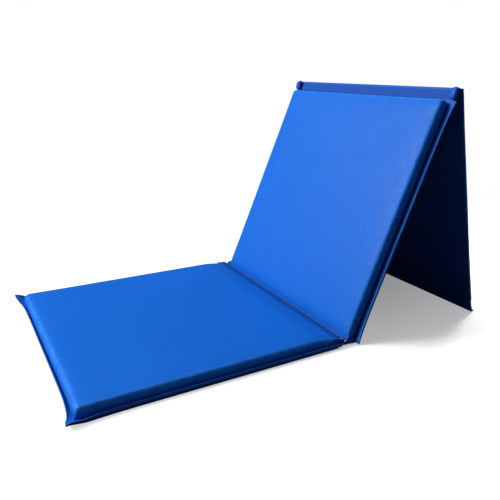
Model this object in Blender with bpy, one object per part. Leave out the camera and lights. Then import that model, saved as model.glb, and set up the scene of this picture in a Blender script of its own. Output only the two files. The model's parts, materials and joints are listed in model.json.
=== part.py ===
"""Tri-fold gym mat: three foam panels in a vinyl cover, joined by two fabric hinges.

Metres, +Z up. The mat's length runs along X and its fold lines along Y. Panel A lies on
the floor, panel B leans up from it, and panel C stands behind B as its prop. The origin is
on the floor, in the middle of the whole object's box.

Each panel is modelled in its own frame: X along its length from its start, Z from its
underside up to its top face. An empty on the panel's fold line carries that frame.
"""

import math

import bmesh
import bpy
from mathutils import Vector

# Driving dimensions
PANEL_LENGTH = 0.572
PANEL_WIDTH = 0.576
PANEL_THICKNESS = 0.030
HINGE_LENGTH = 0.030
LEAN_B = math.radians(67.5)

SHEET = 0.0012
GAP = 0.0003
COVER_EDGE_RADIUS = 0.007
COVER_CORNER_RADIUS = 0.009
ROUNDING_STEPS = 3

HEM_WIDTH = 0.009
EAR_WIDTH = 0.013
EAR_POWER = 8
HEM_THICKNESS = 0.0018
HEM_STEPS = 16
FOLDED_HEM_HEIGHT = 0.012

HINGE_OVERHANG = 0.004
HINGE_CLEARANCE = 0.0012
AXIS_OFFSET = 0.0004
BACKING_THICKNESS = 0.0010
BACKING_INSET = 0.0040

# Sizes that follow from them
HALF_WIDTH = PANEL_WIDTH / 2
HEM_BASE = SHEET + GAP
HEM_ROOT = HALF_WIDTH + GAP
TOP_AXIS_HEIGHT = PANEL_THICKNESS + AXIS_OFFSET
FREE_END = PANEL_LENGTH + GAP + HEM_THICKNESS

# Panel C starts just past its fold line, so that it clears panel B's hinge strip
C_START = HINGE_CLEARANCE

# The first hinge falls from A's top edge to B's, because B's foot stands on the floor
HINGE_DROP = math.asin(TOP_AXIS_HEIGHT * (1 - math.cos(LEAN_B)) / HINGE_LENGTH)

# Fold lines as (x, z), with panel B's foot at x = 0. Angles rise from +X towards +Z.
B_AXIS = (-TOP_AXIS_HEIGHT * math.sin(LEAN_B), TOP_AXIS_HEIGHT * math.cos(LEAN_B))
A_AXIS = (B_AXIS[0] - HINGE_LENGTH * math.cos(HINGE_DROP), TOP_AXIS_HEIGHT)
C_REACH = PANEL_LENGTH + HINGE_LENGTH
C_AXIS = (
    C_REACH * math.cos(LEAN_B) + AXIS_OFFSET * math.sin(LEAN_B),
    C_REACH * math.sin(LEAN_B) - AXIS_OFFSET * math.cos(LEAN_B),
)

# Panel C is as steep as it takes for its free end to stand on the floor
PROP_REACH = C_START + FREE_END
LEAN_C = math.asin(C_AXIS[1] / math.hypot(PROP_REACH, AXIS_OFFSET))
LEAN_C += math.atan2(AXIS_OFFSET, PROP_REACH)

# The vinyl's blues, the darker backing tape, and the foam
VINYL_BLUE = (0.012, 0.105, 0.520)
HEM_BLUE = (0.010, 0.085, 0.430)
UNDERSIDE_BLUE = (0.008, 0.060, 0.300)
TAPE_NAVY = (0.010, 0.018, 0.060)
FOAM_WHITE = (0.780, 0.790, 0.800)


def clear_scene():
    for obj in list(bpy.data.objects):
        bpy.data.objects.remove(obj, do_unlink=True)


def material(name, colour, roughness):
    made = bpy.data.materials.new(name)
    made.use_nodes = True
    shader = made.node_tree.nodes["Principled BSDF"]
    shader.inputs["Base Color"].default_value = (*colour, 1.0)
    shader.inputs["Roughness"].default_value = roughness
    shader.inputs["Metallic"].default_value = 0.0
    made.diffuse_color = (*colour, 1.0)
    return made


def frame_empty(name, parent, x, z, angle):
    """A panel's frame. Its X axis points at angle, measured from +X towards +Z."""
    empty = bpy.data.objects.new(name, None)
    empty.empty_display_size = 0.05
    bpy.context.collection.objects.link(empty)
    empty.parent = parent
    empty.location = (x, 0.0, z)
    empty.rotation_euler = (0.0, -angle, 0.0)
    return empty


def node(name, mesh_builder, frame, finish):
    """Makes one sub-part from a bmesh and hangs it on its panel's frame."""
    mesh = bpy.data.meshes.new(name)
    bmesh.ops.recalc_face_normals(mesh_builder, faces=mesh_builder.faces)
    mesh_builder.to_mesh(mesh)
    mesh_builder.free()
    mesh.materials.append(finish)
    mesh.shade_smooth()
    mesh.set_sharp_from_angle(angle=math.radians(35))
    obj = bpy.data.objects.new(name, mesh)
    bpy.context.collection.objects.link(obj)
    obj.parent = frame
    return obj


def box(x_range, y_range, z_range):
    """A bmesh box between the given limits."""
    low = Vector((x_range[0], y_range[0], z_range[0]))
    high = Vector((x_range[1], y_range[1], z_range[1]))
    made = bmesh.new()
    bmesh.ops.create_cube(made, size=1.0)
    bmesh.ops.scale(made, vec=high - low, verts=made.verts)
    bmesh.ops.translate(made, vec=(low + high) / 2, verts=made.verts)
    return made


def round_edges(made, edges, radius):
    bmesh.ops.bevel(
        made,
        geom=edges,
        offset=radius,
        offset_type="OFFSET",
        segments=ROUNDING_STEPS,
        profile=0.5,
        affect="EDGES",
        clamp_overlap=True,
    )


def rounded_slab(x_range, z_range, inset):
    """A panel-sized slab with rounded corners in plan and rounded top edges."""
    half = HALF_WIDTH - inset
    made = box((x_range[0] + inset, x_range[1] - inset), (-half, half), z_range)
    corners = [e for e in made.edges if abs(e.verts[0].co.z - e.verts[1].co.z) > GAP]
    round_edges(made, corners, COVER_CORNER_RADIUS - inset)
    top = z_range[1]
    rim = [e for e in made.edges if all(abs(v.co.z - top) < GAP for v in e.verts)]
    round_edges(made, rim, COVER_EDGE_RADIUS - inset)
    return made


def foam_core(start):
    """The foam slab that fills the cover."""
    inset = SHEET + GAP
    z_range = (SHEET + GAP, PANEL_THICKNESS - inset)
    return rounded_slab((start, start + PANEL_LENGTH), z_range, inset)


def top_cover(start):
    """The vinyl over the foam: top face and four side walls in one skin, open underneath."""
    z_range = (HEM_BASE, PANEL_THICKNESS)
    outer = rounded_slab((start, start + PANEL_LENGTH), z_range, 0.0)
    underside = [f for f in outer.faces if f.normal.z < -0.9]
    bmesh.ops.delete(outer, geom=underside, context="FACES_ONLY")
    return outer


def edge_bulge(step):
    """0 along most of an edge, rising to 1 at both of its ends."""
    return abs(2 * step / HEM_STEPS - 1) ** EAR_POWER


def flared_plate(x_range, root, side, z_range):
    """A strip beside one long edge of a panel, wider at its two ends, where the ears are."""
    made = bmesh.new()
    inner = []
    outer = []
    for step in range(HEM_STEPS + 1):
        x = x_range[0] + (x_range[1] - x_range[0]) * step / HEM_STEPS
        width = HEM_WIDTH + (EAR_WIDTH - HEM_WIDTH) * edge_bulge(step)
        inner.append(made.verts.new((x, side * root, z_range[0])))
        outer.append(made.verts.new((x, side * (HALF_WIDTH + width), z_range[0])))
    face = made.faces.new(inner + outer[::-1])
    extrude_up(made, face, z_range[1] - z_range[0])
    return made


def extrude_up(made, face, height):
    grown = bmesh.ops.extrude_face_region(made, geom=[face], use_keep_orig=True)
    moved = [item for item in grown["geom"] if isinstance(item, bmesh.types.BMVert)]
    bmesh.ops.translate(made, vec=(0.0, 0.0, height), verts=moved)


def underside_outline(start, end, first_free):
    """The bottom sheet's outline: ears at its corners, a margin along a free first end."""
    near = []
    far = []
    for step in range(HEM_STEPS + 1):
        x = start + (end - start) * step / HEM_STEPS
        y = HALF_WIDTH + HEM_WIDTH + (EAR_WIDTH - HEM_WIDTH) * edge_bulge(step)
        near.append((x, -y))
        far.append((x, y))
    first_end = free_end_points(start) if first_free else []
    return near + far[::-1] + first_end[::-1]


def free_end_points(x):
    """The points between the two ears of the free first end, in order of rising Y."""
    found = []
    for step in range(1, HEM_STEPS):
        y = -HALF_WIDTH + PANEL_WIDTH * step / HEM_STEPS
        dip = (EAR_WIDTH - HEM_WIDTH) * (1 - edge_bulge(step))
        found.append((x + dip, y))
    return found


def bottom_sheet(start, end, first_free):
    made = bmesh.new()
    outline = underside_outline(start, end, first_free)
    face = made.faces.new([made.verts.new((x, y, 0.0)) for x, y in outline])
    extrude_up(made, face, SHEET)
    return made


def end_hem(x_root, x_tip):
    """The hem across panel A's free end, between its two side hems."""
    made = bmesh.new()
    half = HALF_WIDTH - GAP
    root = [made.verts.new((x_root, side * half, HEM_BASE)) for side in (-1, 1)]
    tip = []
    for step in range(HEM_STEPS + 1):
        y = -half + 2 * half * step / HEM_STEPS
        dip = (EAR_WIDTH - HEM_WIDTH) * (1 - edge_bulge(step))
        tip.append(made.verts.new((x_tip + dip, y, HEM_BASE)))
    face = made.faces.new(root + tip[::-1])
    extrude_up(made, face, HEM_THICKNESS)
    return made


def add_panel(letter, frame, start, finishes, first_free=False):
    """One padded panel: foam, cover, bottom sheet and the hems along its two sides."""
    end = start + PANEL_LENGTH
    hem_start = start - EAR_WIDTH if first_free else start
    node(f"{letter}_foam_core", foam_core(start), frame, finishes["foam"])
    cover = node(f"{letter}_top_cover", top_cover(start), frame, finishes["vinyl"])
    thickness = cover.modifiers.new("Vinyl thickness", "SOLIDIFY")
    thickness.thickness = SHEET
    thickness.offset = -1.0
    thickness.use_even_offset = True
    sheet = bottom_sheet(hem_start, end, first_free)
    node(f"{letter}_bottom_sheet", sheet, frame, finishes["underside"])
    hem_heights = (HEM_BASE, HEM_BASE + HEM_THICKNESS)
    for side_name, side in (("near", -1), ("far", 1)):
        hem = flared_plate((hem_start, end), HEM_ROOT, side, hem_heights)
        node(f"{letter}_{side_name}_hem", hem, frame, finishes["hem"])


def hinge_strip(x_range, z_range, inset):
    half = HALF_WIDTH + HINGE_OVERHANG - inset
    return box(x_range, (-half, half), z_range)


def add_first_hinge(frame, finishes):
    """Fabric hinge A-B, level with the top faces: vinyl strip above, backing tape below."""
    top = -AXIS_OFFSET
    strip_range = (HINGE_CLEARANCE, HINGE_LENGTH - HINGE_CLEARANCE)
    strip = hinge_strip(strip_range, (top - SHEET, top), 0.0)
    node("ab_hinge_strip", strip, frame, finishes["vinyl"])
    tape_top = top - SHEET - GAP
    tape_range = (BACKING_INSET, HINGE_LENGTH - BACKING_INSET)
    tape = hinge_strip(tape_range, (tape_top - BACKING_THICKNESS, tape_top), BACKING_INSET)
    node("ab_hinge_tape", tape, frame, finishes["tape"])


def add_second_hinge(frame, finishes):
    """Fabric hinge B-C, level with the undersides: vinyl strip outside, backing tape inside."""
    start = PANEL_LENGTH + GAP
    end = PANEL_LENGTH + HINGE_LENGTH - HINGE_CLEARANCE
    strip = hinge_strip((start, end), (0.0, SHEET), 0.0)
    node("bc_hinge_strip", strip, frame, finishes["vinyl"])
    tape_base = SHEET + GAP
    tape_range = (start + BACKING_INSET, end - BACKING_INSET)
    tape = hinge_strip(tape_range, (tape_base, tape_base + BACKING_THICKNESS), BACKING_INSET)
    node("bc_hinge_tape", tape, frame, finishes["tape"])


def folded_hem(start):
    """Panel C's end hem, turned up against its end wall, so that C stands on its fold."""
    root = start + PANEL_LENGTH + GAP
    half = HALF_WIDTH + EAR_WIDTH
    return box((root, root + HEM_THICKNESS), (-half, half), (0.0, FOLDED_HEM_HEIGHT))


def centre_on_origin(root):
    """Moves the whole object so that the middle of its box stands on the origin."""
    bpy.context.view_layer.update()
    graph = bpy.context.evaluated_depsgraph_get()
    xs = []
    zs = []
    for obj in bpy.data.objects:
        if obj.type != "MESH":
            continue
        evaluated = obj.evaluated_get(graph)
        mesh = evaluated.to_mesh()
        places = [evaluated.matrix_world @ vertex.co for vertex in mesh.vertices]
        xs += [place.x for place in places]
        zs += [place.z for place in places]
        evaluated.to_mesh_clear()
    root.location = (-(min(xs) + max(xs)) / 2, 0.0, -min(zs))


def build():
    clear_scene()
    finishes = {
        "vinyl": material("Blue vinyl", VINYL_BLUE, 0.42),
        "hem": material("Blue vinyl hem", HEM_BLUE, 0.45),
        "underside": material("Blue vinyl underside", UNDERSIDE_BLUE, 0.50),
        "tape": material("Backing tape", TAPE_NAVY, 0.80),
        "foam": material("Foam", FOAM_WHITE, 0.90),
    }
    mat = frame_empty("gym_mat", None, 0.0, 0.0, 0.0)
    frame_a = frame_empty("frame_a", mat, A_AXIS[0] - PANEL_LENGTH, 0.0, 0.0)
    frame_ab = frame_empty("frame_ab", mat, A_AXIS[0], A_AXIS[1], -HINGE_DROP)
    fold_b = frame_empty("fold_b", mat, B_AXIS[0], B_AXIS[1], LEAN_B)
    frame_b = frame_empty("frame_b", fold_b, 0.0, -TOP_AXIS_HEIGHT, 0.0)
    fold_c = frame_empty("fold_c", mat, C_AXIS[0], C_AXIS[1], -LEAN_C)
    frame_c = frame_empty("frame_c", fold_c, 0.0, AXIS_OFFSET, 0.0)

    add_panel("a", frame_a, 0.0, finishes, first_free=True)
    node("a_end_hem", end_hem(-GAP, -EAR_WIDTH), frame_a, finishes["hem"])
    add_first_hinge(frame_ab, finishes)
    add_panel("b", frame_b, 0.0, finishes)
    add_second_hinge(frame_b, finishes)
    add_panel("c", frame_c, C_START, finishes)
    node("c_end_hem", folded_hem(C_START), frame_c, finishes["hem"])
    centre_on_origin(mat)


build()
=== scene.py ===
import json
import math

import bpy
import numpy as np
from mathutils import Matrix, Vector, noise
from mathutils.bvhtree import BVHTree


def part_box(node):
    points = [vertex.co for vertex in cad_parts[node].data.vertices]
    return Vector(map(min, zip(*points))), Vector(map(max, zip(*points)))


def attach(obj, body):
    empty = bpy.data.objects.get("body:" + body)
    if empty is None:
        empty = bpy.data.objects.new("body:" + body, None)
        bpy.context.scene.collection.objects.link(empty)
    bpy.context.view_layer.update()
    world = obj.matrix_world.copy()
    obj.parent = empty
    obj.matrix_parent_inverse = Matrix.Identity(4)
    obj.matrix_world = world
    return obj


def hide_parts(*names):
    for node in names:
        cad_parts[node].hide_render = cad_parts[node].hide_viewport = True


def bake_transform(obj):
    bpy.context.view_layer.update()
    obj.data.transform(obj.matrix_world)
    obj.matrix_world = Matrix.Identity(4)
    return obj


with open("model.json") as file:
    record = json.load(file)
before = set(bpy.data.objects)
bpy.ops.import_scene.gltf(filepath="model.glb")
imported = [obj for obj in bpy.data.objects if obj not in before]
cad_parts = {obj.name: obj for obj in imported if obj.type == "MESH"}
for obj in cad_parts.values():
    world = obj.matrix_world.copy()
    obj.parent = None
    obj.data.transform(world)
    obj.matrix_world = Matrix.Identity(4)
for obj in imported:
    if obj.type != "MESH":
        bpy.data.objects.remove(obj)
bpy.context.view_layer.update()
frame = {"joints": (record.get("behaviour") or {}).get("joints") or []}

# ---------------------------------------------------------------------------
# Studio. A plain pale floor that fades into a white room, one large soft lamp
# high on the left behind the mat, a weak one overhead, one for the floor on the
# right, and the camera. To the camera the floor is partly painted light: it glows
# white, least near the mat, so shadows close to the mat stay while the floor
# further off turns white. To bounced light the floor is dark grey.
# ---------------------------------------------------------------------------
FLOOR_RADIUS = 9.0
CAMERA_PLACE = (-0.6490, -1.1188, 0.5814)
CAMERA_HEADING = math.radians(30.16)
CAMERA_PITCH = math.radians(18.27)
CAMERA_ROLL = math.radians(1.032)
CAMERA_LENS = 38.783


def deselect_all():
    if bpy.context.object and bpy.context.object.mode != "OBJECT":
        bpy.ops.object.mode_set(mode="OBJECT")
    for obj in list(bpy.context.selected_objects):
        obj.select_set(False)


def nodes_of(material):
    material.use_nodes = True
    return material.node_tree.nodes, material.node_tree.links


scene = bpy.context.scene
scene.view_settings.view_transform = "Standard"
scene.view_settings.look = "None"

deselect_all()
bpy.ops.mesh.primitive_circle_add(vertices=96, radius=FLOOR_RADIUS, fill_type="NGON")
studio_floor = bpy.context.object
studio_floor.name = "studio_floor"
floor_paint = bpy.data.materials.new("studio floor paint")
nodes, links = nodes_of(floor_paint)
floor_shader = nodes["Principled BSDF"]
floor_shader.inputs["Roughness"].default_value = 0.85
floor_shader.inputs["Specular IOR Level"].default_value = 0.15
seen_or_bounced = nodes.new("ShaderNodeLightPath")
floor_tone = nodes.new("ShaderNodeMix")
floor_tone.data_type = "RGBA"
floor_tone.inputs["A"].default_value = (0.16, 0.16, 0.17, 1.0)
floor_tone.inputs["B"].default_value = (1.15, 1.15, 1.15, 1.0)
links.new(seen_or_bounced.outputs["Is Camera Ray"], floor_tone.inputs["Factor"])
links.new(floor_tone.outputs["Result"], floor_shader.inputs["Base Color"])
floor_place = nodes.new("ShaderNodeTexCoord").outputs["Object"]
# Painted light: seen from the camera the floor also glows white, only a little within 0.32 m of a
# point near the mat's folds, and fully from 1.70 m out.
floor_distance = nodes.new("ShaderNodeVectorMath")
floor_distance.operation = "DISTANCE"
floor_distance.inputs[1].default_value = (0.30, 0.25, 0.0)
links.new(floor_place, floor_distance.inputs[0])
painted_glow_fade = nodes.new("ShaderNodeMapRange")
painted_glow_fade.inputs["From Min"].default_value = 0.32
painted_glow_fade.inputs["From Max"].default_value = 1.70
painted_glow_fade.inputs["To Min"].default_value = 0.27
painted_glow_fade.inputs["To Max"].default_value = 1.0
links.new(floor_distance.outputs["Value"], painted_glow_fade.inputs["Value"])
floor_painted_glow = nodes.new("ShaderNodeEmission")
floor_painted_glow.inputs["Color"].default_value = (1.0, 1.0, 1.0, 1.0)
painted_glow_if_seen = nodes.new("ShaderNodeMath")
painted_glow_if_seen.operation = "MULTIPLY"
links.new(painted_glow_fade.outputs["Result"], painted_glow_if_seen.inputs[0])
links.new(seen_or_bounced.outputs["Is Camera Ray"], painted_glow_if_seen.inputs[1])
floor_mix = nodes.new("ShaderNodeMixShader")
links.new(painted_glow_if_seen.outputs[0], floor_mix.inputs[0])
links.new(floor_shader.outputs[0], floor_mix.inputs[1])
links.new(floor_painted_glow.outputs[0], floor_mix.inputs[2])
links.new(floor_mix.outputs[0], nodes["Material Output"].inputs["Surface"])
studio_floor.data.materials.append(floor_paint)

room = bpy.data.worlds.new("white room")
scene.world = room
room.use_nodes = True
room_nodes = room.node_tree.nodes
room_links = room.node_tree.links
room_nodes.clear()
white_wall = room_nodes.new("ShaderNodeBackground")
white_wall.inputs["Color"].default_value = (1.0, 1.0, 1.0, 1.0)
white_wall.inputs["Strength"].default_value = 1.0
dim_wall = room_nodes.new("ShaderNodeBackground")
dim_wall.inputs["Color"].default_value = (0.80, 0.88, 1.0, 1.0)
dim_wall.inputs["Strength"].default_value = 0.11
room_ray = room_nodes.new("ShaderNodeLightPath")
room_mix = room_nodes.new("ShaderNodeMixShader")
room_out = room_nodes.new("ShaderNodeOutputWorld")
room_links.new(room_ray.outputs["Is Camera Ray"], room_mix.inputs[0])
room_links.new(dim_wall.outputs[0], room_mix.inputs[1])
room_links.new(white_wall.outputs[0], room_mix.inputs[2])
room_links.new(room_mix.outputs[0], room_out.inputs["Surface"])


def soft_lamp(name, place, aim, size, power, colour, spread=180.0):
    lamp = bpy.data.lights.new(name, "AREA")
    lamp.shape = "DISK"
    lamp.size = size
    lamp.energy = power
    lamp.color = colour
    lamp.spread = math.radians(spread)
    holder = bpy.data.objects.new(name, lamp)
    holder.location = place
    toward = Vector(aim) - Vector(place)
    holder.rotation_euler = toward.to_track_quat("-Z", "Y").to_euler()
    scene.collection.objects.link(holder)


DAYLIGHT = (0.97, 0.99, 1.0)
COOL_DAYLIGHT = (0.95, 0.98, 1.0)
soft_lamp("key_lamp", (-3.2, 1.9, 2.5), (0.0, 0.0, 0.1), 2.0, 275.0, DAYLIGHT)
soft_lamp("top_lamp", (-0.2, 0.8, 3.4), (0.0, 0.0, 0.0), 2.4, 44.0, COOL_DAYLIGHT)
soft_lamp("rim_lamp", (2.6, 0.9, 2.0), (1.05, -0.30, 0.0), 1.0, 7.0, (1.0, 1.0, 1.0), 36.0)

camera = bpy.data.cameras.new("studio_camera")
camera.lens = CAMERA_LENS
camera.sensor_width = 36.0
camera_holder = bpy.data.objects.new("studio_camera", camera)
camera_holder.location = CAMERA_PLACE
camera_holder.rotation_mode = "QUATERNION"
looking = Vector((
    math.sin(CAMERA_HEADING) * math.cos(CAMERA_PITCH),
    math.cos(CAMERA_HEADING) * math.cos(CAMERA_PITCH),
    -math.sin(CAMERA_PITCH),
))
camera_turn = looking.to_track_quat("-Z", "Y")
camera_holder.rotation_quaternion = (
    camera_turn @ Matrix.Rotation(CAMERA_ROLL, 4, "Z").to_quaternion()
)
scene.collection.objects.link(camera_holder)
scene.camera = camera_holder

# ---------------------------------------------------------------------------
# The vinyl. All three panels are sewn from one roll of royal blue coated
# fabric: fine pressed grain, a satin coat, paler where edges have been rubbed,
# and paler along the pad rims and the B-C ridge where a highlight is painted in.
# ---------------------------------------------------------------------------
def new_group(name, inputs, outputs):
    group = bpy.data.node_groups.new(name, "ShaderNodeTree")
    for label, kind, value in inputs:
        socket = group.interface.new_socket(label, in_out="INPUT", socket_type=kind)
        if value is not None:
            socket.default_value = value
    for label, kind in outputs:
        group.interface.new_socket(label, in_out="OUTPUT", socket_type=kind)
    start = group.nodes.new("NodeGroupInput")
    end = group.nodes.new("NodeGroupOutput")
    return group, start, end


def math_node(tree, operation, first, second):
    node = tree.nodes.new("ShaderNodeMath")
    node.operation = operation
    for socket, value in zip(node.inputs, (first, second)):
        if isinstance(value, (int, float)):
            socket.default_value = value
        else:
            tree.links.new(value, socket)
    return node.outputs[0]


def noise_node(tree, vector, scale, detail=2.0, roughness=0.5):
    node = tree.nodes.new("ShaderNodeTexNoise")
    tree.links.new(vector, node.inputs["Vector"])
    node.inputs["Scale"].default_value = scale
    node.inputs["Detail"].default_value = detail
    node.inputs["Roughness"].default_value = roughness
    return node.outputs["Fac"]


def range_node(tree, value, low, high, to_low, to_high):
    node = tree.nodes.new("ShaderNodeMapRange")
    tree.links.new(value, node.inputs["Value"])
    node.inputs["From Min"].default_value = low
    node.inputs["From Max"].default_value = high
    node.inputs["To Min"].default_value = to_low
    node.inputs["To Max"].default_value = to_high
    return node.outputs["Result"]


def mix_colours(tree, factor, first, second):
    node = tree.nodes.new("ShaderNodeMix")
    node.data_type = "RGBA"
    if isinstance(factor, (int, float)):
        node.inputs["Factor"].default_value = factor
    else:
        tree.links.new(factor, node.inputs["Factor"])
    for name, value in (("A", first), ("B", second)):
        if isinstance(value, tuple):
            node.inputs[name].default_value = value
        else:
            tree.links.new(value, node.inputs[name])
    return node.outputs["Result"]


pressed_grain, start, end = new_group(
    "Pressed vinyl grain",
    [("Vector", "NodeSocketVector", None), ("Cells per metre", "NodeSocketFloat", 1500.0)],
    [("Height", "NodeSocketFloat"), ("Pores", "NodeSocketFloat")],
)
cells = pressed_grain.nodes.new("ShaderNodeTexVoronoi")
cells.feature = "SMOOTH_F1"
pressed_grain.links.new(start.outputs["Vector"], cells.inputs["Vector"])
pressed_grain.links.new(start.outputs["Cells per metre"], cells.inputs["Scale"])
cells.inputs["Smoothness"].default_value = 0.6
fine = noise_node(pressed_grain, start.outputs["Vector"], 620.0, 4.0, 0.6)
height = math_node(pressed_grain, "MULTIPLY", cells.outputs["Distance"], -0.7)
height = math_node(pressed_grain, "ADD", height, fine)
pressed_grain.links.new(height, end.inputs["Height"])
pores = range_node(pressed_grain, cells.outputs["Distance"], 0.25, 0.75, 0.0, 1.0)
pressed_grain.links.new(pores, end.inputs["Pores"])

vinyl_tone_and_highlight, start, end = new_group(
    "Vinyl tone, rub and painted highlight",
    [
        ("Vector", "NodeSocketVector", None),
        ("Colour", "NodeSocketColor", (0.012, 0.105, 0.52, 1.0)),
        ("Rub and highlight colour", "NodeSocketColor", (0.04, 0.20, 0.70, 1.0)),
        ("Rub and highlight", "NodeSocketFloat", 0.0),
    ],
    [("Colour", "NodeSocketColor"), ("Dulling", "NodeSocketFloat"), ("Slack", "NodeSocketFloat")],
)
cloudy = noise_node(vinyl_tone_and_highlight, start.outputs["Vector"], 7.0, 3.0, 0.55)
streaks = noise_node(vinyl_tone_and_highlight, start.outputs["Vector"], 46.0, 5.0, 0.62)
speckle = noise_node(vinyl_tone_and_highlight, start.outputs["Vector"], 900.0, 2.0, 0.5)
cloud_mask = range_node(vinyl_tone_and_highlight, cloudy, 0.35, 0.65, 0.0, 0.16)
deeper = vinyl_tone_and_highlight.nodes.new("ShaderNodeHueSaturation")
deeper.inputs["Value"].default_value = 0.80
vinyl_tone_and_highlight.links.new(start.outputs["Colour"], deeper.inputs["Color"])
tone = mix_colours(vinyl_tone_and_highlight, cloud_mask, start.outputs["Colour"], deeper.outputs["Color"])
speck_mask = range_node(vinyl_tone_and_highlight, speckle, 0.52, 0.75, 0.0, 0.22)
tone = mix_colours(vinyl_tone_and_highlight, speck_mask, tone, start.outputs["Rub and highlight colour"])
# Where the rub attribute is high the colour turns paler: real wear, and along pad rims and the B-C
# ridge a painted highlight.
rub_and_highlight_breakup = range_node(vinyl_tone_and_highlight, streaks, 0.35, 0.70, 0.15, 1.0)
rub_and_highlight_mask = math_node(vinyl_tone_and_highlight, "MULTIPLY", start.outputs["Rub and highlight"], rub_and_highlight_breakup)
tone = mix_colours(vinyl_tone_and_highlight, rub_and_highlight_mask, tone, start.outputs["Rub and highlight colour"])
vinyl_tone_and_highlight.links.new(tone, end.inputs["Colour"])
dulling = range_node(vinyl_tone_and_highlight, streaks, 0.30, 0.75, -0.04, 0.07)
vinyl_tone_and_highlight.links.new(dulling, end.inputs["Dulling"])
slack = noise_node(vinyl_tone_and_highlight, start.outputs["Vector"], 16.0, 2.0, 0.45)
vinyl_tone_and_highlight.links.new(slack, end.inputs["Slack"])


def vinyl_finish(name, colour, rub_and_highlight_colour, shine, grain=0.12, slack=0.15, cells=1500.0):
    """A coated-fabric finish. The piece's own point attribute says where it turns paler: worn
    edges, and on pad rims and the B-C ridge a painted highlight.
    """
    finish = bpy.data.materials.new(name)
    nodes, links = nodes_of(finish)
    tree = finish.node_tree
    shader = nodes["Principled BSDF"]
    place = nodes.new("ShaderNodeTexCoord").outputs["Object"]
    rub_and_highlight_node = nodes.new("ShaderNodeAttribute")
    rub_and_highlight_node.attribute_name = "rub_and_highlight"
    tone = nodes.new("ShaderNodeGroup")
    tone.node_tree = vinyl_tone_and_highlight
    links.new(place, tone.inputs["Vector"])
    links.new(rub_and_highlight_node.outputs["Fac"], tone.inputs["Rub and highlight"])
    tone.inputs["Colour"].default_value = (*colour, 1.0)
    tone.inputs["Rub and highlight colour"].default_value = (*rub_and_highlight_colour, 1.0)
    links.new(tone.outputs["Colour"], shader.inputs["Base Color"])
    roughness = math_node(tree, "ADD", tone.outputs["Dulling"], shine)
    texture = nodes.new("ShaderNodeGroup")
    texture.node_tree = pressed_grain
    links.new(place, texture.inputs["Vector"])
    texture.inputs["Cells per metre"].default_value = cells
    pore_dulling = math_node(tree, "MULTIPLY", texture.outputs["Pores"], 0.06)
    roughness = math_node(tree, "ADD", roughness, pore_dulling)
    links.new(roughness, shader.inputs["Roughness"])
    broad = nodes.new("ShaderNodeBump")
    broad.inputs["Strength"].default_value = slack
    broad.inputs["Distance"].default_value = 0.006
    links.new(tone.outputs["Slack"], broad.inputs["Height"])
    close = nodes.new("ShaderNodeBump")
    close.inputs["Strength"].default_value = grain
    close.inputs["Distance"].default_value = 0.0004
    links.new(texture.outputs["Height"], close.inputs["Height"])
    links.new(broad.outputs["Normal"], close.inputs["Normal"])
    links.new(close.outputs["Normal"], shader.inputs["Normal"])
    shader.inputs["Specular IOR Level"].default_value = 0.11
    shader.inputs["Sheen Weight"].default_value = 0.0
    return finish


TOP_BLUE = (0.0034, 0.108, 0.505)
TOP_RUB_AND_HIGHLIGHT = (0.018, 0.190, 0.740)
cover_vinyl = vinyl_finish("royal blue cover vinyl", TOP_BLUE, TOP_RUB_AND_HIGHLIGHT, 0.42)
# Painted shade: the hem pieces (flanges, tabs, knuckles) take a darker copy of the cover blue, the
# shade at the foot of the walls.
HEM_SHADED_BLUE = (0.0045, 0.080, 0.42)
HEM_RUBBED = (0.030, 0.20, 0.68)
# Painted shade: the underside sheets take a copy of the cover blue at about half its brightness,
# the shade on faces turned down or into the fold.
UNDER_SHADED_BLUE = (0.006, 0.052, 0.27)
UNDER_SHADED_RUBBED = (0.02, 0.09, 0.38)
# Painted shade: the fold strips take a darker copy of the cover blue, the shade of the creases.
STRIP_SHADED_BLUE = (0.0028, 0.080, 0.400)
shaded_hem_vinyl = vinyl_finish("royal blue hem vinyl, painted shade", HEM_SHADED_BLUE, HEM_RUBBED, 0.44, 0.14, 0.0)
shaded_under_vinyl = vinyl_finish(
    "royal blue underside vinyl, painted shade", UNDER_SHADED_BLUE, UNDER_SHADED_RUBBED, 0.52, 0.22, 0.16, 1150.0
)
shaded_strip_vinyl = vinyl_finish("royal blue hinge vinyl, painted shade", STRIP_SHADED_BLUE, TOP_RUB_AND_HIGHLIGHT, 0.46, 0.14, 0.0)


def set_attribute(obj, name, values):
    layer = obj.data.attributes.new(name, "FLOAT", "POINT")
    layer.data.foreach_set("value", np.asarray(values, np.float32))


def points_of(obj):
    flat = np.empty(len(obj.data.vertices) * 3, np.float32)
    obj.data.vertices.foreach_get("co", flat)
    return flat.reshape(-1, 3).astype(float)


def move_points(obj, points):
    obj.data.vertices.foreach_set("co", points.astype(np.float32).ravel())
    obj.data.update()


def smoothstep(low, high, value):
    t = np.clip((value - low) / (high - low), 0.0, 1.0)
    return t * t * (3 - 2 * t)


def apply_modifiers(obj):
    deselect_all()
    obj.select_set(True)
    bpy.context.view_layer.objects.active = obj
    for modifier in list(obj.modifiers):
        bpy.ops.object.modifier_apply(modifier=modifier.name)


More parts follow.
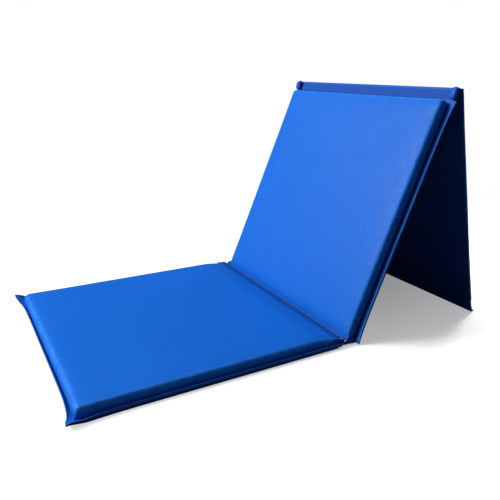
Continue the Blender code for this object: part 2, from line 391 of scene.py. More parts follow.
# ---------------------------------------------------------------------------
# Panels. Three like pads: a stiff slab of foam slipped into a vinyl sleeve,
# then closed all round. The sleeve is drawn tight, so its faces swell a little
# and its long walls pull in between the corners.
# ---------------------------------------------------------------------------
low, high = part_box("a_top_cover")
LENGTH = high.x - low.x
WIDTH = high.y - low.y
THICK = high.z
HALF = WIDTH / 2
joint = {entry["name"]: entry for entry in frame["joints"]}
lift = Vector(joint["hinge_lift"]["pos_m"])
fold_b = Vector(joint["fold_b"]["pos_m"])
fold_c = Vector(joint["fold_c"]["pos_m"])
AXIS_ABOVE = lift.z - THICK
lean_b = math.radians(-joint["fold_b"]["range_deg"][0] - joint["hinge_lift"]["range_deg"][1])
lean_c = math.radians(-joint["fold_c"]["range_deg"][0]) - lean_b
normal_b = Vector((-math.sin(lean_b), 0.0, math.cos(lean_b)))
normal_c = Vector((math.sin(lean_c), 0.0, math.cos(lean_c)))
C_START = 0.0012

# Each panel's own frame: X along its length, Z from its underside to its top face
place_a = Matrix.Translation((low.x, 0.0, 0.0))
place_b = Matrix.Translation(fold_b - (THICK + AXIS_ABOVE) * normal_b)
place_b = place_b @ Matrix.Rotation(-lean_b, 4, "Y")
place_c = Matrix.Translation(fold_c + AXIS_ABOVE * normal_c) @ Matrix.Rotation(lean_c, 4, "Y")
place_c = place_c @ Matrix.Translation((C_START, 0.0, 0.0))

UNDER = 0.0015
SWELL = 0.0022
VOXEL = 0.006

deselect_all()
bpy.ops.mesh.primitive_cube_add(size=1.0, location=(0.0, 0.0, 0.0))
pad = bpy.context.object
pad.name = "pad_form"
pad.scale = (LENGTH - SWELL, WIDTH - SWELL, THICK - UNDER - SWELL)
bpy.ops.object.transform_apply(location=True, rotation=True, scale=True)


def select_edges(obj, wanted):
    """Selects the edges whose two ends satisfy wanted, in edit mode with edge select."""
    bpy.ops.object.mode_set(mode="EDIT")
    bpy.ops.mesh.select_mode(type="EDGE")
    bpy.ops.mesh.select_all(action="DESELECT")
    bpy.ops.object.mode_set(mode="OBJECT")
    for edge in obj.data.edges:
        first, second = (obj.data.vertices[index].co for index in edge.vertices)
        edge.select = wanted(first, second)
    bpy.ops.object.mode_set(mode="EDIT")


CORNER_RADIUS = 0.010
RIM_RADIUS = 0.0085
FOOT_RADIUS = 0.0030
select_edges(pad, lambda a, b: abs(a.z - b.z) > 0.01)
bpy.ops.mesh.bevel(offset=CORNER_RADIUS, segments=5, affect="EDGES")
top = (THICK - UNDER - SWELL) / 2
select_edges(pad, lambda a, b: min(a.z, b.z) > top - 0.0002)
bpy.ops.mesh.bevel(offset=RIM_RADIUS, segments=5, affect="EDGES")
select_edges(pad, lambda a, b: max(a.z, b.z) < 0.0002 - top)
bpy.ops.mesh.bevel(offset=FOOT_RADIUS, segments=2, affect="EDGES")
bpy.ops.object.mode_set(mode="OBJECT")

remesh = pad.modifiers.new("even skin", "REMESH")
remesh.mode = "VOXEL"
remesh.voxel_size = VOXEL
apply_modifiers(pad)
before = points_of(pad)
sleeve = pad.modifiers.new("sleeve", "CLOTH")
sleeve.settings.quality = 4
sleeve.settings.mass = 0.2
sleeve.settings.tension_stiffness = 25.0
sleeve.settings.compression_stiffness = 25.0
sleeve.settings.bending_stiffness = 1.0
sleeve.settings.use_pressure = True
sleeve.settings.uniform_pressure_force = 4.0
sleeve.settings.effector_weights.gravity = 0.0
sleeve.collision_settings.use_collision = False
for step in range(1, 21):
    scene.frame_set(step)
apply_modifiers(pad)
scene.frame_set(1)
after = points_of(pad)
shift = after - before
far = np.linalg.norm(shift, axis=1, keepdims=True)
before = before + shift * np.minimum(1.0, (SWELL / 2) / np.maximum(far, 1e-9))
move_points(pad, before)
smoother = pad.modifiers.new("taut", "CORRECTIVE_SMOOTH")
smoother.factor = 0.5
smoother.iterations = 3
smoother.use_only_smooth = True
finer = pad.modifiers.new("finer", "SUBSURF")
finer.levels = 1
finer.render_levels = 1
apply_modifiers(pad)
move_points(pad, points_of(pad) + np.array((LENGTH / 2, 0.0, (THICK + UNDER) / 2)))

PULL_IN = 0.0016
PUCKER = 0.00045
RIPPLE = 0.0006


def rolling(points, scale, seed):
    """Smooth random numbers, about -1 to 1, one for each point."""
    offset = Vector((seed * 7.31, seed * 3.17, seed * 5.53))
    scaled = points * np.asarray(scale)
    return np.array([noise.noise(Vector(point) + offset) for point in scaled])


def shape_pad(name, seed, taper_start, taper_end, flare, end_flare, tongue):
    """One panel's pad from the common form. Its walls flare at the foot by flare, and by end_flare
    at a free first end. It thins towards its folds, and a tongue carries it on into a fold."""
    obj = pad.copy()
    obj.data = pad.data.copy()
    obj.name = name
    obj.data.name = name
    scene.collection.objects.link(obj)
    points = points_of(obj)
    x, y, z = points.T.copy()
    height = np.clip((z - UNDER) / (THICK - UNDER), 0.0, 1.0)
    wall_y = smoothstep(0.030, 0.002, HALF - np.abs(y))
    wall_x = np.maximum(smoothstep(0.030, 0.002, x), smoothstep(0.030, 0.002, LENGTH - x))
    along = np.clip(2 * x / LENGTH - 1, -1, 1)
    across = np.clip(y / HALF, -1, 1)
    y -= np.sign(y) * wall_y * PULL_IN * (1 - along ** 6)
    x -= np.sign(along) * wall_x * PULL_IN * (1 - across ** 6)
    low_wall = smoothstep(0.75, 0.15, height)
    rough = rolling(points, (70.0, 70.0, 25.0), seed)
    y += np.sign(y) * wall_y * low_wall * PUCKER * rough
    x += np.sign(along) * wall_x * low_wall * PUCKER * rough
    on_top = smoothstep(0.80, 0.98, height)
    soft = rolling(points, (5.0, 8.0, 4.0), seed + 11)
    crease = rolling(points, (14.0, 3.0, 4.0), seed + 23)
    z -= on_top * RIPPLE * (0.55 + 0.55 * soft + 0.35 * np.abs(crease))
    from_edge = np.minimum(HALF - np.abs(y), np.minimum(x, LENGTH - x))
    z -= on_top * 0.0009 * smoothstep(0.060, 0.0, from_edge)
    above_hem = smoothstep(0.0026, 0.0048, z)
    y += np.sign(y) * wall_y * flare * above_hem * (1 - height) ** 1.3
    x -= smoothstep(0.030, 0.002, x) * end_flare * above_hem * (1 - height) ** 0.9
    for drop, reach, distance in ((taper_start, 0.030, x), (taper_end, 0.060, LENGTH - x)):
        z -= drop * height * smoothstep(reach, 0.0, distance)
    x += tongue * smoothstep(0.030, 0.0, LENGTH - x) * (1 - 0.6 * height)
    z = np.clip(z, UNDER, THICK)
    move_points(obj, np.stack((x, y, z), axis=1))
    # Painted highlight: the rim of the top face, where light catches the rounded edge, is made
    # paler through the rub attribute, together with real wear there.
    edge_z = smoothstep(0.35, 0.75, height) * smoothstep(1.0, 0.88, height)
    rub_and_highlight = np.maximum(wall_y, wall_x) * edge_z
    set_attribute(obj, "rub_and_highlight", np.clip(rub_and_highlight * 0.8, 0.0, 1.0))
    deselect_all()
    obj.select_set(True)
    bpy.context.view_layer.objects.active = obj
    bpy.ops.object.shade_smooth()
    obj.data.materials.clear()
    obj.data.materials.append(cover_vinyl)
    return obj


TONGUE = 0.0140
pads = {
    "a": shape_pad("a_padded_panel", 1, 0.0, 0.0065, 0.0058, 0.0078, TONGUE),
    "b": shape_pad("b_padded_panel", 2, 0.0016, 0.0, 0.0020, 0.0, 0.0),
    "c": shape_pad("c_padded_panel", 3, 0.0, 0.0, 0.0020, 0.0, 0.0),
}
bpy.data.objects.remove(pad, do_unlink=True)
surfaces = {}
for letter, place in (("a", place_a), ("b", place_b), ("c", place_c)):
    piece = pads[letter]
    surfaces[letter] = BVHTree.FromPolygons(
        [vertex.co.copy() for vertex in piece.data.vertices],
        [tuple(face.vertices) for face in piece.data.polygons],
    )
    piece.data.transform(place)
    piece.data.update()
    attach(piece, f"panel_{letter}")
    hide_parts(f"{letter}_top_cover", f"{letter}_foam_core")

# ---------------------------------------------------------------------------
# Undersides. One flat sheet of the same vinyl closes each sleeve from below
# and runs out past it all round, with a pointed ear at each corner. It is given
# a darker colour than the cover, painted shade.
# ---------------------------------------------------------------------------
HEM_WIDTH = 0.009
EAR_WIDTH = 0.013
EAR_POWER = 8
UNDER_CUTS = (96, 104)
CURLED_MARGIN = 0.0048


def hem_reach(share, plain=HEM_WIDTH):
    """How far a hem stands out from the wall. share runs from -1 to 1 between two ears."""
    return plain + (EAR_WIDTH - plain) * np.abs(share) ** EAR_POWER


def ear_share(letter, share):
    """Panel A's sides have an ear at their free end only. At the fold they end plainly."""
    return np.minimum(share, 0.0) if letter == "a" else share


def bend_ears(letter, points):
    """Ears are loose cloth: panel A's two free ones curl up and out, B's foot ones draw in."""
    moved = points.copy()
    x, y, _ = points.T
    if letter == "a":
        bends = (
            (-EAR_WIDTH, -1, (-0.0070, -0.0010, 0.0075)),
            (-EAR_WIDTH, 1, (-0.0075, 0.0020, 0.0175)),
        )
    elif letter == "b":
        bends = ((0.0, -1, (0.0020, -0.0010, 0.0)), (0.0, 1, (0.0020, 0.0010, 0.0)))
    else:
        return moved
    for corner_x, side, bend in bends:
        away = np.hypot(x - corner_x, y - side * (HALF + EAR_WIDTH))
        moved += (smoothstep(0.042, 0.0, away) ** 1.5)[:, None] * np.array(bend)
    return moved


def strip_mesh(name, counts):
    """A flat grid over the unit square, to be laid out by moving its points."""
    deselect_all()
    bpy.ops.mesh.primitive_grid_add(
        x_subdivisions=counts[0],
        y_subdivisions=counts[1],
        size=1.0,
        location=(0.0, 0.0, 0.0),
    )
    obj = bpy.context.object
    obj.name = name
    obj.data.name = name
    move_points(obj, points_of(obj) + np.array((0.5, 0.5, 0.0)))
    return obj


def thicken(obj, thickness):
    solid = obj.modifiers.new("vinyl thickness", "SOLIDIFY")
    solid.thickness = thickness
    solid.offset = 0.0
    solid.use_even_offset = False
    apply_modifiers(obj)


def finish_piece(obj, place, material):
    obj.data.transform(place)
    obj.data.materials.clear()
    obj.data.materials.append(material)
    deselect_all()
    obj.select_set(True)
    bpy.context.view_layer.objects.active = obj
    bpy.ops.object.mode_set(mode="EDIT")
    bpy.ops.mesh.select_all(action="SELECT")
    bpy.ops.mesh.normals_make_consistent(inside=False)
    bpy.ops.object.mode_set(mode="OBJECT")
    bpy.ops.object.shade_smooth_by_angle(angle=math.radians(50))


for letter, place in (("a", place_a), ("b", place_b), ("c", place_c)):
    obj = strip_mesh(f"{letter}_underside", UNDER_CUTS)
    u, v, _ = points_of(obj).T
    start_x = -EAR_WIDTH if letter == "a" else 0.0
    x = start_x + (LENGTH - start_x) * u
    plain = CURLED_MARGIN if letter == "a" else HEM_WIDTH
    y = (2 * v - 1) * (HALF + hem_reach(ear_share(letter, 2 * u - 1), plain))
    if letter == "a":
        pull = smoothstep(0.05, 0.0, x - start_x)
        x += pull * (EAR_WIDTH - hem_reach(2 * v - 1, plain)) * 0.98
    flat_points = np.stack((x, y, np.zeros_like(x)), axis=1)
    inner = smoothstep(0.0, 0.03, HALF - np.abs(y))
    inner = inner * smoothstep(0.0, 0.03, np.minimum(x, LENGTH - x))
    sag = 0.0 if letter == "a" else 0.00045
    wave = rolling(flat_points, (9.0, 6.0, 1.0), 31 + ord(letter))
    flat_points[:, 2] = 0.0006 + sag * inner * wave * 0.9
    move_points(obj, bend_ears(letter, flat_points))
    edge = np.minimum(HALF + HEM_WIDTH - np.abs(y), np.minimum(x - start_x, LENGTH - x))
    set_attribute(obj, "rub_and_highlight", 0.7 * smoothstep(0.010, 0.0, edge))
    thicken(obj, 0.0009)
    finish_piece(obj, place, shaded_under_vinyl)
    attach(obj, f"panel_{letter}")
    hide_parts(f"{letter}_bottom_sheet")

# ---------------------------------------------------------------------------
# Hems. The sleeve's lower edge is turned over the underside and sewn to it: a
# narrow flange with a lip and a stitch channel. Panel A's roll up its walls,
# and B's and C's lie nearly flat.
# ---------------------------------------------------------------------------
HEM_BASE = 0.0015
HEM_THICK = 0.0018
STITCH_INSET = 0.0042
FLANGE_ROOT = 0.0022
CURLS = {"a": 2.35, "b": 0.22, "c": 0.22}
END_CURL = 1.90


def flange_section(v, share, curl):
    """How far out and up a flange's middle runs at v, from 0 at its root to 1 at its lip, then its
    slope and whole width. Between its ears it curls up against the wall by curl radians."""
    between = 1 - np.abs(share) ** EAR_POWER
    reach = hem_reach(share) - FLANGE_ROOT + 0.0022 * between * curl
    turn = np.maximum(curl * between, 0.02)
    run = v * (FLANGE_ROOT + reach)
    arc = np.maximum(run - FLANGE_ROOT, 0.0) / reach
    out = np.minimum(run, FLANGE_ROOT) + reach * np.sin(turn * arc) / turn
    up = reach * (1 - np.cos(turn * arc)) / turn
    left = FLANGE_ROOT + reach - run
    up -= 0.00035 * np.exp(-((left - STITCH_INSET) / 0.0009) ** 2)
    up += 0.00025 * np.exp(-((left - 0.0012) / 0.0012) ** 2)
    return out, HEM_BASE + HEM_THICK * 0.55 + up, turn * arc, FLANGE_ROOT + reach


def wall_foot(share):
    """Where a pad's wall meets its flange, measured from the middle of the panel."""
    return HALF - PULL_IN * (1 - np.abs(share) ** 6) - 0.0002


def side_hem(name, side, letter, place, start_x, end_x):
    obj = strip_mesh(name, (190, 16))
    u, v, _ = points_of(obj).T
    share = 2 * u - 1
    out, z, _, _ = flange_section(v, ear_share(letter, share), CURLS[letter])
    x = start_x + (end_x - start_x) * u
    laid = np.stack((x, side * (wall_foot(share) + out), z), axis=1)
    wave = rolling(laid * np.array((1.0, 1.0, 0.0)), (38.0, 20.0, 1.0), 51 + side + ord(letter))
    laid[:, 2] += 0.00025 * wave * v
    laid[:, 1] += side * 0.0003 * wave * v
    move_points(obj, bend_ears(letter, laid))
    set_attribute(obj, "rub_and_highlight", 0.75 * smoothstep(0.72, 0.98, v) + 0.3 * smoothstep(0.35, 0.10, v))
    thicken(obj, HEM_THICK * 0.72)
    finish_piece(obj, place, shaded_hem_vinyl)
    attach(obj, f"panel_{letter}")
    return obj


A_HEM_RUN_ON = 0.0080
HEM_RUNS = {"a": (-EAR_WIDTH, LENGTH + A_HEM_RUN_ON), "b": (0.0, LENGTH), "c": (0.0, LENGTH)}
hems = {"a": [], "b": [], "c": []}
for letter, place in (("a", place_a), ("b", place_b), ("c", place_c)):
    for side_name, side in (("near", -1), ("far", 1)):
        obj = side_hem(f"{letter}_{side_name}_flange", side, letter, place, *HEM_RUNS[letter])
        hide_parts(f"{letter}_{side_name}_hem")
        hems[letter].append(obj)

# Panel A's free end has the same flange, between the two side ones
obj = strip_mesh("a_end_flange", (190, 16))
u, v, _ = points_of(obj).T
share = 2 * u - 1
out, z, _, _ = flange_section(v, share, END_CURL)
x = PULL_IN * (1 - share ** 6) + 0.0002 - out
laid = np.stack((x, share * (HALF - 0.0003), z), axis=1)
wave = rolling(laid * np.array((1.0, 1.0, 0.0)), (20.0, 38.0, 1.0), 77)
laid[:, 2] += 0.00025 * wave * v
move_points(obj, bend_ears("a", laid))
set_attribute(obj, "rub_and_highlight", 0.75 * smoothstep(0.72, 0.98, v) + 0.3 * smoothstep(0.35, 0.10, v))
thicken(obj, HEM_THICK * 0.72)
finish_piece(obj, place_a, shaded_hem_vinyl)
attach(obj, "panel_a")
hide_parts("a_end_hem")
hems["a"].append(obj)

# Panel C stands on its free end, so its hem there is bent up flat against the end wall
FOLDED_HEIGHT = 0.012
obj = strip_mesh("c_end_flange", (190, 12))
u, v, _ = points_of(obj).T
y = (2 * u - 1) * (HALF + EAR_WIDTH)
x = np.full_like(y, LENGTH + 0.0003 + HEM_THICK * 0.5)
z = 0.0006 + v * (FOLDED_HEIGHT - 0.0006)
wave = rolling(np.stack((x, y, z), axis=1), (1.0, 36.0, 20.0), 83)
x -= 0.00018 * (1 - np.abs(wave)) * v
z += 0.0005 * wave * v - 0.0030 * v * np.abs(2 * u - 1) ** 24
move_points(obj, np.stack((x, y, z), axis=1))
set_attribute(obj, "rub_and_highlight", 0.8 * smoothstep(0.80, 1.0, v) + 0.5 * smoothstep(0.15, 0.0, v))
thicken(obj, HEM_THICK * 0.72)
finish_piece(obj, place_c, shaded_hem_vinyl)
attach(obj, "panel_c")
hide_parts("c_end_hem")
hems["c"].append(obj)

# Below B's foot each side ends in a loose tab, cut off level, that fills the corner of the fold
FOOT_SLOPE = math.cos(lean_b) / math.sin(lean_b)
for side_name, side in (("near", -1), ("far", 1)):
    obj = strip_mesh(f"b_{side_name}_foot_tab", (24, 16))
    u, v, _ = points_of(obj).T
    z = 0.0020 + (THICK - 0.0025) * u
    root = 0.0080
    x = root + (0.0008 - FOOT_SLOPE * z - root) * v
    z += 0.0075 * u * smoothstep(0.0020, -0.0060, x)
    laid = np.stack((x, np.zeros_like(x), z), axis=1)
    wave = rolling(laid, (60.0, 1.0, 90.0), 91 + side)
    laid[:, 1] = side * (HALF + 0.0004 + 0.0012 * v + 0.0008 * wave)
    move_points(obj, laid)
    set_attribute(obj, "rub_and_highlight", 0.4 * smoothstep(0.80, 1.0, v))
    thicken(obj, 0.0014)
    finish_piece(obj, place_b, shaded_hem_vinyl)
    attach(obj, "panel_b")
    hems["b"].append(obj)

# On panel A's side the sleeve's end is folded in under the strip and fills the rest of that corner
span = fold_b - lift
drop = math.atan2(-span.z, span.x)
for side_name, side in (("near", -1), ("far", 1)):
    obj = strip_mesh(f"a_{side_name}_fold_tab", (24, 20))
    u, v, _ = points_of(obj).T
    root = LENGTH - 0.0120
    ceiling_x = LENGTH + 0.0215 * u
    z_top = THICK - 0.0078 + 0.0030 * u - (ceiling_x - LENGTH) * math.tan(drop) * 0.62
    z = 0.0018 + (z_top - 0.0018) * v
    edge_x = LENGTH + 0.0222 - (0.0116 - np.minimum(z, 0.0110)) * 0.803
    x = root + (edge_x - root) * u
    laid = np.stack((x, np.zeros_like(x), z), axis=1)
    wave = rolling(laid, (60.0, 1.0, 90.0), 95 + side)
    laid[:, 1] = side * (HALF - 0.0030 + 0.0006 * wave)
    move_points(obj, laid)
    set_attribute(obj, "rub_and_highlight", np.zeros_like(x))
    thicken(obj, 0.0014)
    finish_piece(obj, place_a, shaded_hem_vinyl)
    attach(obj, "panel_a")
    hems["a"].append(obj)

# ---------------------------------------------------------------------------
# Stitching. A row of blue polyester lockstitch holds each flange to the
# underside, 4 mm in from the lip, each stitch sunk a little at its ends.
# ---------------------------------------------------------------------------
STITCH_PITCH = 0.0056
STITCH_LENGTH = 0.0040
STITCH_RADIUS = 0.00034

thread = bpy.data.materials.new("blue sewing thread")
nodes, links = nodes_of(thread)
tree = thread.node_tree
shader = nodes["Principled BSDF"]
place_node = nodes.new("ShaderNodeTexCoord").outputs["Object"]
ply = nodes.new("ShaderNodeTexWave")
links.new(place_node, ply.inputs["Vector"])
ply.inputs["Scale"].default_value = 900.0
ply.inputs["Distortion"].default_value = 1.5
lint = noise_node(tree, place_node, 1600.0, 3.0, 0.6)
thread_colour = mix_colours(tree, lint, (0.012, 0.075, 0.36, 1.0), (0.035, 0.15, 0.56, 1.0))
links.new(thread_colour, shader.inputs["Base Color"])
thread_rough = range_node(tree, lint, 0.3, 0.7, 0.42, 0.58)
links.new(thread_rough, shader.inputs["Roughness"])
twist = nodes.new("ShaderNodeBump")
twist.inputs["Strength"].default_value = 0.4
twist.inputs["Distance"].default_value = 0.0001
links.new(ply.outputs["Fac"], twist.inputs["Height"])
links.new(twist.outputs["Normal"], shader.inputs["Normal"])


STITCH_TAPER = 0.45
STITCH_SINK = 0.00042
deselect_all()
bpy.ops.mesh.primitive_cylinder_add(
    vertices=5,
    radius=STITCH_RADIUS,
    depth=STITCH_LENGTH,
    location=(0.0, 0.0, 0.0),
    rotation=(0.0, math.pi / 2, 0.0),
)
stitch = bpy.context.object
stitch.name = "stitch_form"
bpy.ops.object.transform_apply(location=True, rotation=True, scale=True)
bpy.ops.object.mode_set(mode="EDIT")
for ring in (-0.55, 0.0, 0.55):
    bpy.ops.mesh.select_all(action="SELECT")
    bpy.ops.mesh.bisect(plane_co=(ring * STITCH_LENGTH / 2, 0.0, 0.0), plane_no=(1.0, 0.0, 0.0))
bpy.ops.object.mode_set(mode="OBJECT")
points = points_of(stitch)
ring = 2 * points[:, 0] / STITCH_LENGTH
points[:, 1:] *= (1 - STITCH_TAPER * ring ** 4)[:, None]
points[:, 2] -= STITCH_SINK * ring ** 2
move_points(stitch, points)


def stitch_row(name, path, normals):
    """Copies of the stitch along path, an array of points, each facing along its own normal."""
    steps = np.linalg.norm(np.diff(path, axis=0), axis=1)
    travelled = np.concatenate(([0.0], np.cumsum(steps)))
    count = int(travelled[-1] / STITCH_PITCH)
    copies = []
    for index in range(count):
        middle = (index + 0.5) * travelled[-1] / count
        before, after = (
            np.array([np.interp(middle + step, travelled, path[:, k]) for k in range(3)])
            for step in (-0.001, 0.001)
        )
        heading = (after - before) / np.linalg.norm(after - before)
        normal = np.array([np.interp(middle, travelled, normals[:, k]) for k in range(3)])
        aside = np.cross(normal, heading)
        aside /= np.linalg.norm(aside)
        normal = np.cross(heading, aside)
        turn = Matrix((heading.tolist(), aside.tolist(), normal.tolist())).transposed().to_4x4()
        turn.translation = ((before + after) / 2).tolist()
        copy = stitch.copy()
        copy.data = stitch.data.copy()
        copy.data.transform(turn)
        scene.collection.objects.link(copy)
        copies.append(copy)
    deselect_all()
    for copy in copies:
        copy.select_set(True)
    bpy.context.view_layer.objects.active = copies[0]
    bpy.ops.object.join()
    obj = bpy.context.object
    obj.name = name
    obj.data.name = name
    return obj


STITCH_RISE = HEM_THICK * 0.36 + 0.00005


def stitch_line(share, curl):
    """Where the stitches run on a flange: how far out and up, and which way they face there."""
    _, _, _, total = flange_section(np.ones_like(share), share, curl)
    out, up, slope, _ = flange_section(1 - STITCH_INSET / total, share, curl)
    outside = -1.0 if curl > 0.5 else 1.0
    facing_out = -np.sin(slope) * outside
    facing_up = np.cos(slope) * outside
    return out + facing_out * STITCH_RISE, up + facing_up * STITCH_RISE, facing_out, facing_up


for letter, place in (("a", place_a), ("b", place_b), ("c", place_c)):
    start_x, end_x = HEM_RUNS[letter]
    share = np.linspace(-0.992, 0.992, 240)
    out, z, facing_out, facing_up = stitch_line(ear_share(letter, share), CURLS[letter])
    x = start_x + (end_x - start_x) * (share + 1) / 2
    for side_name, side in (("near", -1), ("far", 1)):
        path = np.stack((x, side * (wall_foot(share) + out), z), axis=1)
        normals = np.stack((np.zeros_like(x), side * facing_out, facing_up), axis=1)
        obj = stitch_row(f"{letter}_{side_name}_stitching", bend_ears(letter, path), normals)
        finish_piece(obj, place, thread)
        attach(obj, f"panel_{letter}")
        hems[letter].append(obj)
share = np.linspace(-0.98, 0.98, 240)
out, z, facing_out, facing_up = stitch_line(share, END_CURL)
x = PULL_IN * (1 - share ** 6) + 0.0002 - out
path = np.stack((x, share * HALF, z), axis=1)
normals = np.stack((-facing_out, np.zeros_like(x), facing_up), axis=1)
obj = stitch_row("a_end_stitching", bend_ears("a", path), normals)
finish_piece(obj, place_a, thread)
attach(obj, "panel_a")
hems["a"].append(obj)
y = share * (HALF + EAR_WIDTH)
stitch_x = LENGTH + 0.0003 + HEM_THICK * 0.86
path = np.stack((np.full_like(y, stitch_x), y, np.full_like(y, 0.0070)), axis=1)
obj = stitch_row("c_end_stitching", path, np.tile((1.0, 0.0, 0.0), (len(y), 1)))
finish_piece(obj, place_c, thread)
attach(obj, "panel_c")
hems["c"].append(obj)
bpy.data.objects.remove(stitch, do_unlink=True)

for letter in "abc":
    start = EAR_WIDTH if letter == "a" else 0.0

# ---------------------------------------------------------------------------
# Fold A-B. A strip of the cover vinyl, given a darker colour as painted shade of
# the crease, joins the two top faces, welded on by a lap at each side, so B can
# stand on its edge beside A or lie down on A.
# ---------------------------------------------------------------------------
LAP = 0.013
STRIP = 0.0011
HALF_STRIP = HALF - 0.0010
TAPE_BLUE = (0.0022, 0.055, 0.300)
TAPE_RUBBED = (0.010, 0.11, 0.45)
tape_cloth = vinyl_finish(
    "blue hinge backing", TAPE_BLUE, TAPE_RUBBED, 0.55, 0.30, 0.0, 2400.0
)


def top_height(letter, x, y):
    """Height of a pad's upper surface in its panel's frame."""
    y = max(-HALF + 0.010, min(HALF - 0.010, y))
    hit = surfaces[letter].ray_cast(Vector((x, y, 0.1)), Vector((0.0, 0.0, -1.0)))
    return hit[0].z if hit[0] is not None else THICK


def swept_strip(name, profile, half, cuts=120):
    """A strip of cloth across a fold. Each row of profile gives a point's x and z from its y."""
    rows = len(profile)
    obj = strip_mesh(name, (rows - 1, cuts))
    points = points_of(obj)
    row = np.rint(points[:, 0] * (rows - 1)).astype(int)
    y = (2 * points[:, 1] - 1) * half
    xz = np.array([profile[r](value) for r, value in zip(row, y)])
    move_points(obj, np.stack((xz[:, 0], y, xz[:, 1]), axis=1))
    return obj


def lap_rows(letter, xs, lift_off):
    """Rows that lie on a pad's top face, at these distances along its panel."""
    return [lambda y, x=x, up=up: (x, top_height(letter, x, y) + up) for x, up in zip(xs, lift_off)]


# From A's top face, along its tongue, down to the middle of the strip, in A's frame
half_span = span.length / 2
middle_x = LENGTH + half_span * math.cos(drop)
middle_z = THICK - 0.0006 - half_span * math.sin(drop)
lap_x = [LENGTH - back for back in (LAP, LAP - 0.0015, 0.0090, 0.0055, 0.0020)]
a_lap = lap_rows("a", lap_x, [-0.0008, -0.0003, 0.0001, 0.0003, 0.0004])
down = []
for share in (0.30, 0.50, 0.70, 0.86, 1.0, 1.12):
    def along_tongue(y, share=share):
        start = top_height("a", LENGTH - 0.0020, y) + 0.0004
        x = LENGTH - 0.0020 + share * (middle_x - LENGTH + 0.0020)
        return x, start + (middle_z - start) * share - 0.0009 * smoothstep(0.80, 1.0, share)
    down.append(along_tongue)
strip_a = swept_strip("ab_fold_strip_a", a_lap + down, HALF_STRIP)
set_attribute(strip_a, "rub_and_highlight", np.zeros(len(strip_a.data.vertices)))
thicken(strip_a, STRIP * 0.8)
finish_piece(strip_a, place_a, shaded_strip_vinyl)

# From the middle of the strip down to the crease and up B's face, in B's frame
hinge_angle = math.pi - drop - lean_b
b_rows = []
for share in (1.0, 0.84, 0.68, 0.52, 0.36, 0.22, 0.12, 0.06):
    run = share * half_span
    b_rows.append(lambda y, run=run: (
        run * math.cos(hinge_angle) + 0.0004,
        THICK + AXIS_ABOVE + run * math.sin(hinge_angle) - 0.0006 / math.tan(hinge_angle / 2),
    ))
b_rows.append(lambda y: (0.0010, THICK - 0.0004))
b_lap = lap_rows("b", [0.0075, 0.0095, LAP - 0.0015, LAP], [0.0003, 0.0001, -0.0003, -0.0008])
b_rows.append(lambda y: (0.0040, top_height("b", 0.0075, y) + 0.0004))
strip_b = swept_strip("ab_fold_strip_b", b_rows + b_lap, HALF_STRIP)
set_attribute(strip_b, "rub_and_highlight", np.zeros(len(strip_b.data.vertices)))
thicken(strip_b, STRIP * 0.8)
finish_piece(strip_b, place_b, shaded_strip_vinyl)

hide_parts("ab_hinge_strip")
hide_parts("ab_hinge_strip")
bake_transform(strip_a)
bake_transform(strip_b)

# A woven band is glued behind the strip, and is seen only from below
CAD_TAPE_INSET = 0.0040
obj = strip_mesh("ab_backing_band", (8, 110))
points = points_of(obj)
run = CAD_TAPE_INSET + points[:, 0] * (span.length - 2 * CAD_TAPE_INSET)
y = (2 * points[:, 1] - 1) * (HALF - 0.006)
below = 0.0021
x = lift.x + run * math.cos(drop) - below * math.sin(drop)
z = lift.z - run * math.sin(drop) - below * math.cos(drop)
move_points(obj, np.stack((x, y, z), axis=1))
set_attribute(obj, "rub_and_highlight", np.zeros(len(points)))
thicken(obj, 0.0008)
finish_piece(obj, Matrix.Identity(4), tape_cloth)
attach(obj, "hinge_ab")
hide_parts("ab_hinge_tape")

# ---------------------------------------------------------------------------
# Fold B-C. A like strip joins the two undersides, so C folds back behind B;
# it bends round the ridge, and its backing shows between the two panels.
# ---------------------------------------------------------------------------
bend = math.pi - (lean_b + lean_c)
ridge_rows = []
RIDGE_HALF = HALF + 0.0060
ROOT = 0.004
RIDGE_BEND = 0.0011
for beyond in (-ROOT, -0.001, 0.005, 0.012, 0.019, 0.0245, 0.0275):
    ridge_rows.append((LENGTH + beyond, 0.0007))
ridge_x = LENGTH + 0.030
for share in (0.12, 0.30, 0.5, 0.70, 0.88):
    angle = math.pi / 2 - share * (math.pi - bend)
    ridge_rows.append((
        ridge_x - 0.0009 + RIDGE_BEND * math.cos(angle),
        -0.0004 + RIDGE_BEND * math.sin(angle),
    ))
points_b = [place_b @ Vector((x, 0.0, z)) for x, z in ridge_rows]
points_c = [place_c @ Vector((x, 0.0, 0.0007)) for x in (0.0012, 0.0032, 0.0052)]
path = np.array([(p.x, p.z) for p in points_b + points_c])
rows = len(path)
strip_bc = strip_mesh("bc_fold_strip", (rows - 1, 120))
points = points_of(strip_bc)
row = np.rint(points[:, 0] * (rows - 1)).astype(int)
y = (2 * points[:, 1] - 1) * RIDGE_HALF
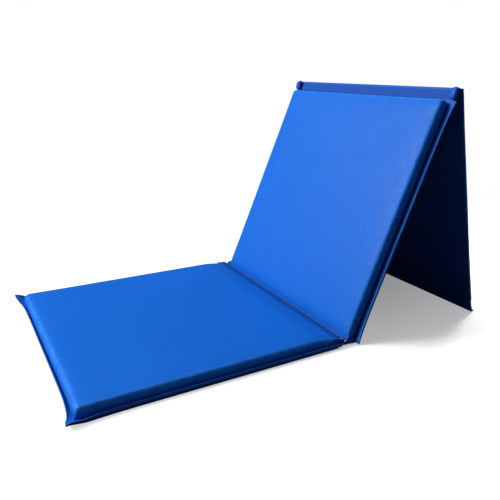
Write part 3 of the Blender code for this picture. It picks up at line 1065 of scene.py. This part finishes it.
move_points(strip_bc, np.stack((path[row, 0], y, path[row, 1]), axis=1))
# Painted highlight: a paler band along the ridge where the strip bends, where light catches it,
# laid on through the rub attribute.
set_attribute(strip_bc, "rub_and_highlight", 0.25 * np.exp(-((row - rows + 6) / 2.5) ** 2))
thicken(strip_bc, STRIP)
finish_piece(strip_bc, Matrix.Identity(4), shaded_strip_vinyl)
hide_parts("bc_hinge_strip")
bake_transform(strip_bc)

obj = strip_mesh("bc_backing_band", (8, 110))
points = points_of(obj)
x = LENGTH + 0.0043 + points[:, 0] * 0.0205
y = (2 * points[:, 1] - 1) * (HALF - 0.001)
z = np.full_like(x, 0.0020)
move_points(obj, np.stack((x, y, z), axis=1))
set_attribute(obj, "rub_and_highlight", np.zeros(len(points)))
thicken(obj, 0.0008)
finish_piece(obj, place_b, tape_cloth)
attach(obj, "panel_b")
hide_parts("bc_hinge_tape")

# The strip's two ends are tucked in and sewn down into a small closed knuckle of vinyl
for side_name, side in (("near", -1), ("far", 1)):
    deselect_all()
    bpy.ops.mesh.primitive_uv_sphere_add(
        segments=32, ring_count=20, radius=1.0, location=(0.0, 0.0, 0.0)
    )
    obj = bpy.context.object
    obj.name = f"bc_{side_name}_knuckle"
    obj.data.name = obj.name
    ball = points_of(obj)
    ball = np.sign(ball) * np.abs(ball) ** 0.72
    folds = rolling(ball, (1.1, 2.6, 1.6), 101 + side)
    ball *= (1 + 0.10 * folds)[:, None]
    x, y, z = ball.T
    x = np.minimum(LENGTH + 0.0160 + 0.0140 * x, LENGTH + 0.0303)
    y = side * (HALF + 0.0035) + 0.0100 * y * (1 - 0.25 * (x - LENGTH) / 0.030)
    z = 0.0080 + 0.0068 * z - 0.0010 * np.sin((x - LENGTH) / 0.0042)
    move_points(obj, np.stack((x, y, np.maximum(z, 0.0013)), axis=1))
    set_attribute(obj, "rub_and_highlight", 0.5 * smoothstep(0.3, 0.9, np.abs(folds)))
    finish_piece(obj, place_b, shaded_hem_vinyl)
    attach(obj, "panel_b")
